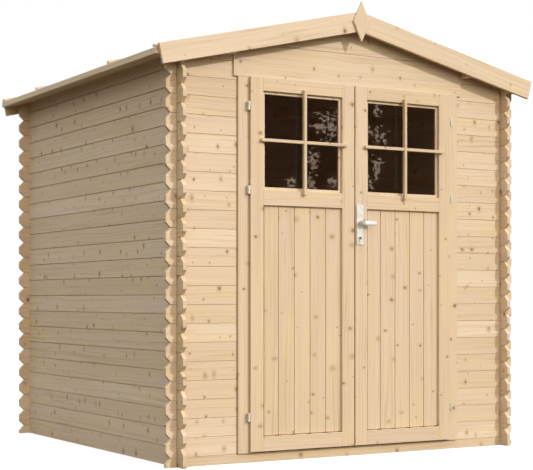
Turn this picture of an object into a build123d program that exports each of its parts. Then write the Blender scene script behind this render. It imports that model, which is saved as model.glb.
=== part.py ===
from build123d import *
from math import ceil, cos, radians, sin, sqrt, tan
import os

# Garden shed of interlocking wall boards, with a low pitched roof and a glazed double door.
# Millimetres. The origin is the middle of the plan at ground level, the door faces -Y, +Z is up.

# Wall boards and their corner joints
WALL_SPAN = 1862.0  # outer face to outer face, both ways
BOARD_T = 19.0  # thickness of a wall board
BOARD_H = 85.0  # visible height of one board
STUB = 56.0  # how far the board ends run past the crossing wall
STUB_CUT = 24.0  # 45 degree cut on the corners of each board end
JOINT_PLAY = 0.25  # play on each side of a notch or slot

# Roof
ROOF_PITCH = 13.15  # degrees
EAVE_RISE = 117.0  # outer upper edge of the side walls above the doorway
EAVE_OVERHANG = 115.0  # roof boards past the outer face of the side walls
ROOF_T = 16.0
FELT_T = 3.0
EAVE_BOARD_T = 18.0
EAVE_BOARD_H = 28.0
BATTEN_W = 22.0
BATTEN_T = 11.0
BATTEN_EDGE = 25.0  # middle of an end batten from the gable edge of the roof
BATTEN_PLACE_SHARES = (-1.0, -0.485, 0.485, 1.0)  # of the distance to the end battens
BATTEN_RIDGE_GAP = 3.0
BATTEN_SETBACK = 2.0  # foot of a batten from the face of the eave board
PURLIN_W = 40.0
SIDE_PURLIN_H = 65.0
RIDGE_PURLIN_H = 87.0
PURLIN_HEADER_GAP = 2.0  # between a side purlin and the end of the door header

# Barge boards and finials
BARGE_T = 18.0
BARGE_W = 92.0
BARGE_RISE = 11.0  # upper edge above the felt
BARGE_REACH = 10.0  # upper corner past the end of the roof boards
FINIAL_W = 92.0
FINIAL_H = 193.0
FINIAL_T = 10.0
FINIAL_RISE = 46.5  # tip above the meeting point of the barge boards

# Doorway
DOORWAY_W = 1120.0
DOORWAY_COURSES = 20  # whole boards beside the doorway, above the sill board
JAMB_W = 67.0
JAMB_PROUD = 10.0  # flange in front of the wall, and the like flange behind it
JAMB_GROOVE = 30.0  # depth that the wall boards reach into the jamb
HEADER_COURSES = 22  # upper edge of the header, in boards above the sill board
HEADER_LIFT = 17.5  # lower edge of the header above the doorway
HEADER_LAP = 23.0  # header past the outer edge of each jamb

# Floor
FLOOR_T = 16.0
BEARER_W = 40.0
BEARER_COUNT = 5
FLOOR_PLAY = 0.5

# Door leaves
LEAF_GAP = 6.0  # between a leaf and the doorway all round
MEETING_GAP = 7.0  # between the two leaves
LEAF_BODY_T = 28.0
LIP_T = 10.0
LIP_LAP = 16.0  # lip past the leaf body at the hinge side
LIP_TOP_LAP = 26.5  # lip past the leaf body at the top
LIP_CLEAR = 5.0  # between the lip and the face of the jamb
STILE_W = 67.5
TOP_RAIL_H = 62.0
MID_RAIL_H = 70.5
BOTTOM_RAIL_H = 68.5
MID_RAIL_RISE = 1128.5  # foot of the leaf to the underside of the middle rail
PANEL_T = 16.0
PANEL_RECESS = 13.0
GLASS_T = 4.0
GLASS_RECESS = 22.0
GROOVE_DEPTH = 8.0
GROOVE_PLAY = 0.3

# Lift-off hinges
HINGE_R = 7.0
HINGE_H = 40.0
HINGE_SPLIT = 0.5  # between the two halves
HINGE_CAP = 2.5  # closed end of the upper half
HINGE_EDGE_GAP = 1.5  # between the barrel and the edge of the lip
PIN_R = 3.0
PIN_PLAY = 0.05
PIN_END_GAP = 0.5
FLAP_T = 5.0  # flap of each half, on the wood
HINGE_PLACE_SHARES = (0.093, 0.698, 0.921)  # of the height of a leaf

# Lever lock on the right leaf
PLATE_W = 38.0
PLATE_H = 190.0
PLATE_T = 6.0
PLATE_CORNER = 2.5  # chamfer
PLATE_EDGE = 3.5  # from the meeting edge of the leaf
PLATE_RISE = 958.5  # from the foot of the leaf
LEVER_RISE = 102.0  # from the foot of the plate
KEY_DROP = 72.0  # lever axis to key axis
NECK_R = 8.0
NECK_LENGTH = 14.0  # round neck in front of the plate
NECK_PLAY = 0.3
SPINDLE_W = 8.0  # square
MORTISE_W = 20.0  # slot for the lock, through the stile
MORTISE_RISE = 10.0  # above the lever axis
MORTISE_DROP = 2.0  # below the cylinder
GRIP_H = 22.0
GRIP_T = 10.0
GRIP_CORNER = 4.0
GRIP_LENGTH = 76.0  # lever axis to the tip
GRIP_STAND = 32.0  # outer face of the grip from the plate
GRIP_BEND_R = 14.0
CYLINDER_R = 8.5
CYLINDER_WEB_W = 10.0
CYLINDER_H = 33.0
CYLINDER_CORNER = 3.0  # chamfer at its foot
CYLINDER_PROUD = 3.0
CYLINDER_PLAY = 0.3

# Derived heights and places
HALF = WALL_SPAN / 2
INNER = HALF - BOARD_T
END = HALF + STUB
SILL_H = BOARD_H / 2
DOORWAY_TOP = SILL_H + DOORWAY_COURSES * BOARD_H
HEADER_TOP = SILL_H + HEADER_COURSES * BOARD_H
HEADER_BOTTOM = DOORWAY_TOP + HEADER_LIFT
SLOPE = tan(radians(ROOF_PITCH))
RIDGE_Z = DOORWAY_TOP + EAVE_RISE + SLOPE * HALF  # underside of the roof boards
UPRIGHT = 1 / cos(radians(ROOF_PITCH))  # upright thickness of a sloping layer for each unit
ROOF_HALF = HALF + EAVE_OVERHANG
EAVE_FACE = ROOF_HALF + EAVE_BOARD_T
ROOF_TOP_Z = RIDGE_Z + ROOF_T * UPRIGHT
FELT_TOP_Z = ROOF_TOP_Z + FELT_T * UPRIGHT
BARGE_TOP_Z = FELT_TOP_Z + BARGE_RISE
FINIAL_Z = BARGE_TOP_Z + FINIAL_RISE - FINIAL_H / 2

JAMB_FACE = -HALF - JAMB_PROUD
JAMB_HALF = DOORWAY_W / 2 + JAMB_W
HEADER_HALF = JAMB_HALF + HEADER_LAP
SIDE_PURLIN_X = HEADER_HALF + PURLIN_HEADER_GAP + PURLIN_W / 2

LEAF_FOOT = SILL_H + LEAF_GAP
LEAF_TOP = DOORWAY_TOP - LEAF_GAP + LIP_TOP_LAP
LEAF_INNER = MEETING_GAP / 2
LEAF_BODY_OUTER = DOORWAY_W / 2 - LEAF_GAP
LEAF_OUTER = LEAF_BODY_OUTER + LIP_LAP
LIP_BACK = JAMB_FACE - LIP_CLEAR
LEAF_FRONT = LIP_BACK - LIP_T
LEAF_BACK = LIP_BACK + LEAF_BODY_T
LIGHT_X = (LEAF_INNER + STILE_W, LEAF_OUTER - STILE_W)
PANEL_Z = (LEAF_FOOT + BOTTOM_RAIL_H, LEAF_FOOT + MID_RAIL_RISE)
WINDOW_Z = (PANEL_Z[1] + MID_RAIL_H, LEAF_TOP - TOP_RAIL_H)
PANEL_Y = (LEAF_FRONT + PANEL_RECESS, LEAF_FRONT + PANEL_RECESS + PANEL_T)
GLASS_Y = (LEAF_FRONT + GLASS_RECESS, LEAF_FRONT + GLASS_RECESS + GLASS_T)

HINGE_X = LEAF_OUTER + HINGE_EDGE_GAP + HINGE_R
HINGE_Y = LIP_BACK - HINGE_R
HINGE_ZS = [LEAF_FOOT + share * (LEAF_TOP - LEAF_FOOT) for share in HINGE_PLACE_SHARES]

LOCK_X = LEAF_INNER + PLATE_EDGE + PLATE_W / 2
PLATE_FOOT = LEAF_FOOT + PLATE_RISE
LEVER_Z = PLATE_FOOT + LEVER_RISE
KEY_Z = LEVER_Z - KEY_DROP
CYLINDER_FOOT = KEY_Z + CYLINDER_R - CYLINDER_H
PLATE_FRONT = LEAF_FRONT - PLATE_T
PLATE_BACK = LEAF_BACK + PLATE_T


def block(x, y, z):
    """Box between two limits on each axis."""
    size = [high - low for low, high in (x, y, z)]
    middle = [(low + high) / 2 for low, high in (x, y, z)]
    return Pos(*middle) * Box(*size)


def upright_prism(outline, y):
    """Outline in X and Z, given depth between two limits on Y."""
    return extrude(Plane.XZ.offset(-y[1]) * outline, amount=y[1] - y[0])


def outline_of(*points):
    return make_face(Polyline(*points, close=True))


def rod_y(x, y, z, radius):
    """Round bar along Y between two limits."""
    return Pos(x, (y[0] + y[1]) / 2, z) * Rot(90, 0, 0) * Cylinder(radius, y[1] - y[0])


def rod_z(x, y, z, radius):
    """Round bar along Z between two limits."""
    return Pos(x, y, (z[0] + z[1]) / 2) * Cylinder(radius, z[1] - z[0])


def roof_z(x, ridge_z):
    """Height of a roof layer, known at the ridge, at a distance from the middle."""
    return ridge_z - SLOPE * abs(x)


def mirrored(piece):
    return mirror(piece, about=Plane.YZ)


# Walls


def wall_outline(first_joint):
    """Elevation of a wall: cut board ends, and slots at the joints that lock with the crossing boards."""
    joint_count = ceil((RIDGE_Z - first_joint) / BOARD_H)
    joints = [first_joint + i * BOARD_H for i in range(joint_count)]
    vee = Rot(0, 0, 45) * Rectangle(STUB_CUT * sqrt(2), STUB_CUT * sqrt(2))
    slot = Rectangle(BOARD_T + 2 * JOINT_PLAY, BOARD_H / 2 + 2 * JOINT_PLAY)
    outline = Pos(0, RIDGE_Z / 2) * Rectangle(2 * END, RIDGE_Z)
    for side in (-1, 1):
        outline -= [Pos(side * END, z) * vee for z in joints if z > 0]
        outline -= [Pos(side * (HALF - BOARD_T / 2), z) * slot for z in joints]
    return outline


def span_outline(x, z):
    """Upright rectangle between limits on X and Z."""
    return Pos((x[0] + x[1]) / 2, (z[0] + z[1]) / 2) * Rectangle(x[1] - x[0], z[1] - z[0])


def under_roof(reach):
    """Section of the building under the roof boards, as far out as given."""
    eave_z = roof_z(reach, RIDGE_Z)
    return outline_of((-reach, 0), (reach, 0), (reach, eave_z), (0, RIDGE_Z), (-reach, eave_z))


def purlin_outline(x, height, play):
    """Section of a purlin under the roof boards, square below and following the roof above."""
    left = x - PURLIN_W / 2 - play
    right = x + PURLIN_W / 2 + play
    middle = min(max(0, left), right)
    bottom = roof_z(x, RIDGE_Z) - height - play
    upper = [(place, roof_z(place, RIDGE_Z)) for place in sorted({left, middle, right}, reverse=True)]
    return outline_of((left, bottom), (right, bottom), *upper)


def purlin_slots():
    slots = [purlin_outline(side * SIDE_PURLIN_X, SIDE_PURLIN_H, JOINT_PLAY) for side in (-1, 1)]
    return slots + [purlin_outline(0, RIDGE_PURLIN_H, JOINT_PLAY)]


def walls():
    """Side walls start with a whole board and end walls with a half one, so that their ends cross."""
    length = Plane.YZ * wall_outline(0)
    shelter = upright_prism(under_roof(HALF), (-END, END))
    right = extrude(Pos(INNER, 0, 0) * length, amount=BOARD_T) & shelter
    gable = (wall_outline(SILL_H) & under_roof(END)) - purlin_slots()
    front_y = (-HALF, -INNER)
    board_end = JAMB_HALF - JAMB_GROOVE + JOINT_PLAY
    beside_door = gable & span_outline((board_end, END), (SILL_H, DOORWAY_TOP))
    front_right = upright_prism(beside_door, front_y)
    return {
        "right_wall": right,
        "left_wall": mirrored(right),
        "rear_wall": upright_prism(gable, (INNER, HALF)),
        "front_sill_board": upright_prism(gable & span_outline((-END, END), (0, SILL_H)), front_y),
        "front_wall_right": front_right,
        "front_wall_left": mirrored(front_right),
        "front_gable": upright_prism(gable & span_outline((-END, END), (DOORWAY_TOP, RIDGE_Z)), front_y),
    }


# Doorway


def doorway():
    """Jambs that grip the wall boards in a groove, the header, and the board over it."""
    face_y = (JAMB_FACE, -HALF)
    back_y = (-INNER, -INNER + JAMB_PROUD)
    height = (SILL_H, DOORWAY_TOP)
    jamb_x = (DOORWAY_W / 2, JAMB_HALF)
    jamb = block(jamb_x, face_y, (SILL_H, HEADER_BOTTOM)) + block(jamb_x, back_y, height)
    jamb += block((DOORWAY_W / 2, JAMB_HALF - JAMB_GROOVE), (-HALF, -INNER), height)
    board_x = (-HEADER_HALF, HEADER_HALF)
    header = under_roof(HEADER_HALF) & span_outline(board_x, (HEADER_BOTTOM, HEADER_TOP))
    over_header = under_roof(HEADER_HALF) & span_outline(board_x, (HEADER_TOP, RIDGE_Z))
    return {
        "right_jamb": jamb,
        "left_jamb": mirrored(jamb),
        "door_header": upright_prism(header, face_y),
        "gable_board": upright_prism(over_header, face_y),
    }


# Floor


def floor():
    reach = INNER - FLOOR_PLAY
    pitch = (2 * reach - BEARER_W) / (BEARER_COUNT - 1)
    bearer_top = SILL_H - FLOOR_T
    middles = [(i - (BEARER_COUNT - 1) / 2) * pitch for i in range(BEARER_COUNT)]
    bearers = [block((-reach, reach), (y - BEARER_W / 2, y + BEARER_W / 2), (0, bearer_top)) for y in middles]
    return {
        "floor_boards": block((-reach, reach), (-reach, reach), (bearer_top, SILL_H)),
        "floor_bearers": bearers,
    }


# Roof


def sloping_layer(ridge_z, thickness, inner_x, outer_x):
    """Section of a layer on the right slope: upright ends, and its underside known at the ridge."""
    rise = thickness * UPRIGHT
    under = [(x, roof_z(x, ridge_z)) for x in (inner_x, outer_x)]
    over = [(x, roof_z(x, ridge_z) + rise) for x in (outer_x, inner_x)]
    return outline_of(*under, *over)


def barge_outline():
    """Right barge board: upright mitre at the ridge, and an end square to its length."""
    top_x = ROOF_HALF + BARGE_REACH
    low_x = top_x - BARGE_W * sin(radians(ROOF_PITCH))
    low_z = BARGE_TOP_Z - BARGE_W * UPRIGHT
    return outline_of((0, low_z), (low_x, roof_z(low_x, low_z)), (top_x, roof_z(top_x, BARGE_TOP_Z)),
                      (0, BARGE_TOP_Z))


def finial(y):
    half_w = FINIAL_W / 2
    half_h = FINIAL_H / 2
    rhombus = outline_of((0, -half_h), (half_w, 0), (0, half_h), (-half_w, 0))
    return upright_prism(Pos(0, FINIAL_Z) * rhombus, y)


def roof():
    """Boards, felt and battens on purlins, with eave boards along the sides."""
    depth = (-END, END)
    boards = upright_prism(sloping_layer(RIDGE_Z, ROOF_T, 0, ROOF_HALF), depth)
    felt = upright_prism(sloping_layer(ROOF_TOP_Z, FELT_T, 0, ROOF_HALF), depth)
    eave_low = roof_z(EAVE_FACE, ROOF_TOP_Z) - EAVE_BOARD_H
    eave = outline_of((ROOF_HALF, eave_low), (EAVE_FACE, eave_low),
                      (EAVE_FACE, roof_z(EAVE_FACE, ROOF_TOP_Z)), (ROOF_HALF, roof_z(ROOF_HALF, ROOF_TOP_Z)))
    eave_board = upright_prism(eave, depth)
    strip = sloping_layer(FELT_TOP_Z, BATTEN_T, BATTEN_RIDGE_GAP, EAVE_FACE - BATTEN_SETBACK)
    places = [share * (END - BATTEN_EDGE) for share in BATTEN_PLACE_SHARES]
    battens = [upright_prism(strip, (y - BATTEN_W / 2, y + BATTEN_W / 2)) for y in places]
    side_purlin = upright_prism(purlin_outline(SIDE_PURLIN_X, SIDE_PURLIN_H, 0), depth)
    return {
        "ridge_purlin": upright_prism(purlin_outline(0, RIDGE_PURLIN_H, 0), (-HALF, HALF)),
        "side_purlins": [side_purlin, mirrored(side_purlin)],
        "roof_right": boards,
        "roof_left": mirrored(boards),
        "felt_right": felt,
        "felt_left": mirrored(felt),
        "right_eave_board": eave_board,
        "left_eave_board": mirrored(eave_board),
        "roof_battens": battens + [mirrored(batten) for batten in battens],
    }


def gable_trim():
    """Barge boards against the board ends and the roof, and a finial over each mitre."""
    pieces = {}
    ends = {"front": -1, "rear": 1}
    for name, side in ends.items():
        inner_y = side * END
        outer_y = side * (END + BARGE_T)
        barge = upright_prism(barge_outline(), sorted((inner_y, outer_y)))
        pieces[name + "_barge_right"] = barge
        pieces[name + "_barge_left"] = mirrored(barge)
        pieces[name + "_finial"] = finial(sorted((outer_y, outer_y + side * FINIAL_T)))
    return pieces


# Door leaves


def framed_sheet(y, z, play):
    """Panel or pane that fills a light of the right leaf and enters the grooves round it."""
    reach = GROOVE_DEPTH + play
    x = (LIGHT_X[0] - reach, LIGHT_X[1] + reach)
    return block(x, (y[0] - play, y[1] + play), (z[0] - reach, z[1] + reach))


def leaf_frame():
    """Stiles and rails of the right leaf, rebated at the hinge side and the top."""
    lip_y = (LEAF_FRONT, LIP_BACK)
    body_y = (LIP_BACK, LEAF_BACK)
    whole_y = (LEAF_FRONT, LEAF_BACK)
    body_top = LEAF_TOP - LIP_TOP_LAP
    meeting_x = (LEAF_INNER, LIGHT_X[0])
    meeting = block(meeting_x, lip_y, (LEAF_FOOT, LEAF_TOP)) + block(meeting_x, body_y, (LEAF_FOOT, body_top))
    hanging = block((LIGHT_X[1], LEAF_OUTER), lip_y, (LEAF_FOOT, LEAF_TOP))
    hanging += block((LIGHT_X[1], LEAF_BODY_OUTER), body_y, (LEAF_FOOT, body_top))
    bottom = block(LIGHT_X, whole_y, (LEAF_FOOT, PANEL_Z[0]))
    middle = block(LIGHT_X, whole_y, (PANEL_Z[1], WINDOW_Z[0]))
    top = block(LIGHT_X, lip_y, (WINDOW_Z[1], LEAF_TOP)) + block(LIGHT_X, body_y, (WINDOW_Z[1], body_top))
    grooves = [framed_sheet(PANEL_Y, PANEL_Z, GROOVE_PLAY), framed_sheet(GLASS_Y, WINDOW_Z, GROOVE_PLAY)]
    stiles = [piece - grooves for piece in (meeting, hanging)]
    rails = [piece - grooves for piece in (bottom, middle, top)]
    return stiles, rails


def frame_hinge(z):
    """Lower half of a right hinge: barrel, pin, and a flap to the face of the jamb."""
    low = z - HINGE_H / 2
    barrel_z = (low, z - HINGE_SPLIT / 2)
    half = rod_z(HINGE_X, HINGE_Y, barrel_z, HINGE_R)
    half += block((HINGE_X - FLAP_T / 2, HINGE_X + FLAP_T / 2), (HINGE_Y, JAMB_FACE), barrel_z)
    return half + rod_z(HINGE_X, HINGE_Y, (low, z + HINGE_H / 2 - HINGE_CAP - PIN_END_GAP), PIN_R)


def leaf_hinge(z):
    """Upper half of a right hinge: bored barrel, and a flap to the edge of the lip."""
    high = z + HINGE_H / 2
    barrel_z = (z + HINGE_SPLIT / 2, high)
    half = rod_z(HINGE_X, HINGE_Y, barrel_z, HINGE_R)
    half += block((LEAF_OUTER, HINGE_X), (HINGE_Y - FLAP_T / 2, HINGE_Y + FLAP_T / 2), barrel_z)
    return half - rod_z(HINGE_X, HINGE_Y, (z, high - HINGE_CAP), PIN_R + PIN_PLAY)


# Lever lock


def cylinder_outline(play):
    """Profile of a lock cylinder: a round head on a narrow web with chamfered corners."""
    web_half = CYLINDER_WEB_W / 2 + play
    web = span_outline((-web_half, web_half), (CYLINDER_FOOT - play, KEY_Z))
    web = chamfer(web.vertices().sort_by(Axis.Y)[:2], CYLINDER_CORNER)
    return Pos(LOCK_X, KEY_Z) * Circle(CYLINDER_R + play) + Pos(LOCK_X, 0) * web


def lever(spindle_reach):
    """Handle in front of the plate: round neck in the plate, and a bent grip towards the hinges."""
    bend_y = PLATE_FRONT - GRIP_STAND + GRIP_T / 2
    start = (LOCK_X, PLATE_FRONT, LEVER_Z)
    route = FilletPolyline(start, (LOCK_X, bend_y, LEVER_Z), (LOCK_X + GRIP_LENGTH, bend_y, LEVER_Z),
                           radius=GRIP_BEND_R)
    bar = Rectangle(GRIP_T, GRIP_H)
    section = Plane(origin=start, x_dir=(1, 0, 0), z_dir=(0, -1, 0)) * chamfer(bar.vertices(), GRIP_CORNER)
    handle = sweep(section, path=route)
    handle += rod_y(LOCK_X, (PLATE_FRONT - NECK_LENGTH, LEAF_FRONT), LEVER_Z, NECK_R)
    if spindle_reach:
        spindle_x = (LOCK_X - SPINDLE_W / 2, LOCK_X + SPINDLE_W / 2)
        spindle_z = (LEVER_Z - SPINDLE_W / 2, LEVER_Z + SPINDLE_W / 2)
        handle += block(spindle_x, (LEAF_FRONT, LEAF_FRONT + spindle_reach), spindle_z)
    return handle


def lock():
    """Plates on both sides of the leaf, a key cylinder through them, and two levers on one spindle."""
    corner_plate = chamfer(Rectangle(PLATE_W, PLATE_H).vertices(), PLATE_CORNER)
    outline = Pos(LOCK_X, PLATE_FOOT + PLATE_H / 2) * corner_plate
    outline -= Pos(LOCK_X, LEVER_Z) * Circle(NECK_R + NECK_PLAY)
    outline -= cylinder_outline(CYLINDER_PLAY)
    key_y = (PLATE_FRONT - CYLINDER_PROUD, PLATE_BACK + CYLINDER_PROUD)
    leaf_middle = Plane.XZ.offset(-(LEAF_FRONT + LEAF_BACK) / 2)
    sides = ((PLATE_FRONT, LEAF_FRONT), (LEAF_BACK, PLATE_BACK))
    return {
        "lock_plates": [upright_prism(outline, y) for y in sides],
        "lock_cylinder": upright_prism(cylinder_outline(0), key_y),
        "outer_lever": lever(LEAF_BACK - LEAF_FRONT),
        "inner_lever": mirror(lever(0), about=leaf_middle),
    }


def doors():
    """Both leaves; the right one has a mortise for the lock."""
    stiles, rails = leaf_frame()
    mortise = block((LOCK_X - MORTISE_W / 2, LOCK_X + MORTISE_W / 2), (LEAF_FRONT, LEAF_BACK),
                    (CYLINDER_FOOT - MORTISE_DROP, LEVER_Z + MORTISE_RISE))
    panel = framed_sheet(PANEL_Y, PANEL_Z, 0)
    glass = framed_sheet(GLASS_Y, WINDOW_Z, 0)
    hinges = [leaf_hinge(z) for z in HINGE_ZS]
    frame_halves = [frame_hinge(z) for z in HINGE_ZS]
    leaf = {"door_stiles": stiles, "door_rails": rails, "door_panel": [panel], "door_glass": [glass],
            "leaf_hinges": hinges}
    pieces = {"left_" + name: [mirrored(solid) for solid in solids] for name, solids in leaf.items()}
    pieces.update({"right_" + name: solids for name, solids in leaf.items()})
    pieces["right_door_stiles"] = [stiles[0] - mortise, stiles[1]]
    pieces["frame_hinges"] = frame_halves + [mirrored(half) for half in frame_halves]
    return pieces


def write(pieces):
    os.makedirs("parts", exist_ok=True)
    for name, piece in pieces.items():
        solids = piece if isinstance(piece, list) else [piece]
        export_step(Compound([solid for shape in solids for solid in shape.solids()]), f"parts/{name}.step")


write({**walls(), **doorway(), **floor(), **roof(), **gable_trim(), **doors(), **lock()})
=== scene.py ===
import bmesh
import bpy
import math
import random
from mathutils import Matrix, Vector


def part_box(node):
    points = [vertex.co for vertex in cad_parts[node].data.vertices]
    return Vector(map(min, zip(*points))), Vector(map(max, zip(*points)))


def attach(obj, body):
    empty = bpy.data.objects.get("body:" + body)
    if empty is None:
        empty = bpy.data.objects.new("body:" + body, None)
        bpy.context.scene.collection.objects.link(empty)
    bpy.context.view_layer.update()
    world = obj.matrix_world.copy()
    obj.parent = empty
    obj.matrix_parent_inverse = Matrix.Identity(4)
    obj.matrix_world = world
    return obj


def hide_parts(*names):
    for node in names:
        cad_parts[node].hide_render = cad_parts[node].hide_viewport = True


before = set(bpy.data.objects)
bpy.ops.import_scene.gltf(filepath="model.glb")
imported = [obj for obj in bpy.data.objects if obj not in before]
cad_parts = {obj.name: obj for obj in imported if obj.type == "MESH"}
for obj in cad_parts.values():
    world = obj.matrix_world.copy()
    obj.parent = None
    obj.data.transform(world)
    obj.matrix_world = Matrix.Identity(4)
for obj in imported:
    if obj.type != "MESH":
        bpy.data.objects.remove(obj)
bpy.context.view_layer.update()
dice = random.Random(41)

# Sizes in metres
BOARD_H = 0.085
HALF_BOARD = BOARD_H / 2
END_CUT = 0.024
V_JOINT = 0.0009
FRONT_GAP = 0.0012
SIDE_GAP = 0.0034
HEADER_GAP = 0.0013
SLOT_W = 0.0034
SLOT_DEPTH = 0.005
TONGUE_T = 0.007
TONGUE_H = 0.012
PANEL_JOINT = 0.0014
PANEL_GAP = 0.0022
PANEL_EDGE = 0.010
PANEL_FOOT_GAP = 0.003
PANEL_TONGUE_T = 0.004
EASED = 0.0016
SOFT_METAL = 0.0006
BAR_W = 0.0145
BAR_T = 0.018
CROSS_BAR_T = 0.015
BAR_LAP = 0.018
GROOVE = 0.008
BEAD_W = 0.0135
BEAD_T = 0.009
KEY_PLUG_R = 0.0064
KEY_PLUG_DEPTH = 0.0012
KEY_SLOT_W = 0.0034
KEY_SLOT_H = 0.0095
KEY_SLOT_DEPTH = 0.0006
TOUCH = 1e-5
GRAIN_REACH = 40

# Counts and angles
ROOF_BOARDS = 12
FLOOR_BOARDS = 20
PANEL_BOARDS = 5
KEY_PLUG_SIDES = 32
ROOF_PITCH = math.radians(13.15)
WOOD_EDGE = math.radians(30)
METAL_EDGE = math.radians(50)
METAL_SMOOTH = math.radians(35)
SAME_PLANE = math.radians(1)

# Tones of boards, from pale at 0 to deep at 1
WALL_TONES = (0.0, 0.8)
LEAF_TONES = (0.6, 1.0)
GABLE_TONES = (0.0, 0.4)

# Directions, and the top of the ridge
X_AXIS = Vector((1, 0, 0))
Y_AXIS = Vector((0, 1, 0))
Z_AXIS = Vector((0, 0, 1))
RIGHT_SLOPE = Vector((math.cos(ROOF_PITCH), 0, -math.sin(ROOF_PITCH)))
LEFT_SLOPE = Vector((-RIGHT_SLOPE.x, 0, RIGHT_SLOPE.z))
RIDGE = Vector((0, 0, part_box("ridge_purlin")[1].z))


# Working on one piece by hand


def hold(piece):
    """Only this piece is selected, and it is the active one."""
    bpy.ops.object.select_all(action="DESELECT")
    piece.select_set(True)
    bpy.context.view_layer.objects.active = piece


def block(name, low, high):
    """A cube, added at its size and place between two corners."""
    low = Vector(low)
    high = Vector(high)
    bpy.ops.object.select_all(action="DESELECT")
    bpy.ops.mesh.primitive_cube_add(size=1, location=(low + high) / 2)
    piece = bpy.context.object
    piece.name = name
    piece.scale = high - low
    bpy.ops.object.transform_apply(location=True, rotation=True, scale=True)
    return piece


def pick_edges(piece, wanted):
    """Enters edit mode with only the wanted edges selected, told by where their two ends are."""
    hold(piece)
    bpy.ops.object.mode_set(mode="EDIT")
    bpy.ops.mesh.select_mode(type="EDGE")
    bpy.ops.mesh.select_all(action="DESELECT")
    mesh = bmesh.from_edit_mesh(piece.data)
    for edge in mesh.edges:
        edge.select_set(wanted(edge.verts[0].co, edge.verts[1].co))
    bmesh.update_edit_mesh(piece.data)


def cut_corners(piece, run, stops, heights):
    """Cuts the corners of a board's ends at 45 degrees, where an end and a height meet."""
    def at_corner(a, b):
        at_end = any(abs(a[run] - stop) < TOUCH and abs(b[run] - stop) < TOUCH for stop in stops)
        return at_end and any(abs(a.z - z) < TOUCH and abs(b.z - z) < TOUCH for z in heights)
    pick_edges(piece, at_corner)
    bpy.ops.mesh.bevel(offset=END_CUT, offset_type="OFFSET", segments=1, affect="EDGES")
    bpy.ops.object.mode_set(mode="OBJECT")


def trim(piece, place, outward):
    """Saws off what lies past a plane and closes the cut."""
    if max((corner.co - place).dot(outward) for corner in piece.data.vertices) < TOUCH:
        return
    hold(piece)
    bpy.ops.object.mode_set(mode="EDIT")
    bpy.ops.mesh.select_all(action="SELECT")
    bpy.ops.mesh.bisect(plane_co=place, plane_no=outward, use_fill=True, clear_outer=True)
    bpy.ops.object.mode_set(mode="OBJECT")


def trim_under_roof(piece):
    """Saws off what lies above the two slopes of the roof."""
    for slope in (RIGHT_SLOPE, LEFT_SLOPE):
        trim(piece, RIDGE, Vector((-slope.z * math.copysign(1, slope.x), 0, abs(slope.x))))


def ease(piece, width, segments=1, sharp=WOOD_EDGE):
    """Takes the sharpness off the edges with an applied bevel."""
    hold(piece)
    bevel = piece.modifiers.new("eased_edges", "BEVEL")
    bevel.width = width
    bevel.segments = segments
    bevel.limit_method = "ANGLE"
    bevel.angle_limit = sharp
    bpy.ops.object.modifier_apply(modifier=bevel.name)


def copied(piece, shift):
    """A copy with its own mesh, moved along."""
    twin = piece.copy()
    twin.data = piece.data.copy()
    bpy.context.scene.collection.objects.link(twin)
    twin.data.transform(Matrix.Translation(shift))
    return twin


def joined(name, pieces):
    """Makes one piece of several, under its own name."""
    hold(pieces[0])
    for piece in pieces:
        piece.select_set(True)
    if len(pieces) > 1:
        bpy.ops.object.join()
    whole = bpy.context.object
    whole.name = name
    return whole


def by_place(piece):
    """A key that sorts pieces by the low corner of their boxes."""
    return tuple(round(value, 4) for value in piece.bound_box[0])


def lay_grain(piece, along, across, tones=WALL_TONES):
    """Gives a board its own stretch of wood: grain coordinates, a tone, and its end faces."""
    mesh = piece.data
    through = along.cross(across)
    start = Vector([dice.uniform(0, GRAIN_REACH) for axis in range(3)])
    board_tone = dice.uniform(*tones)
    mesh.attributes.new("grain", "FLOAT_VECTOR", "POINT")
    mesh.attributes.new("board_tone", "FLOAT", "POINT")
    mesh.attributes.new("end_face", "FLOAT", "FACE")
    for number, corner in enumerate(mesh.vertices):
        spot = Vector((corner.co.dot(along), corner.co.dot(across), corner.co.dot(through)))
        mesh.attributes["grain"].data[number].vector = spot + start
        mesh.attributes["board_tone"].data[number].value = board_tone
    for number, face in enumerate(mesh.polygons):
        mesh.attributes["end_face"].data[number].value = abs(face.normal.dot(along))


def finished(piece, body, slot, material, *nodes):
    """Hands a piece over with its finish and its body, and hides the nodes that it stands for. Its slot
    is not used.
    """
    piece.data.materials.clear()
    piece.data.materials.append(material)
    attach(piece, body)
    if nodes:
        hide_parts(*nodes)
    return piece


def node_copy(node, name):
    """A merged copy of a node's solids, with whole faces, as a start for a finished piece."""
    piece = bpy.data.objects.new(name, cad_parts[node].data.copy())
    bpy.context.scene.collection.objects.link(piece)
    hold(piece)
    bpy.ops.object.mode_set(mode="EDIT")
    bpy.ops.mesh.select_all(action="SELECT")
    bpy.ops.mesh.remove_doubles(threshold=TOUCH)
    bpy.ops.mesh.dissolve_limited(angle_limit=SAME_PLANE)
    bpy.ops.object.mode_set(mode="OBJECT")
    return piece


def sawn_timber(node, along, across, tones=WALL_TONES):
    """Boards or bars of a node in one piece, each with eased edges and its own grain.

    The grain's directions are the same for all, or a function gives both for each bar.
    """
    hold(node_copy(node, node + "_timber"))
    bpy.ops.object.mode_set(mode="EDIT")
    bpy.ops.mesh.select_all(action="SELECT")
    bpy.ops.mesh.separate(type="LOOSE")
    bpy.ops.object.mode_set(mode="OBJECT")
    bars = list(bpy.context.selected_objects)
    bars.sort(key=by_place)
    for bar in bars:
        ease(bar, EASED, segments=2)
        if callable(along):
            lay_grain(bar, *along(bar), tones)
        else:
            lay_grain(bar, along, across, tones)
    return joined(node + "_timber", bars)


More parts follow.
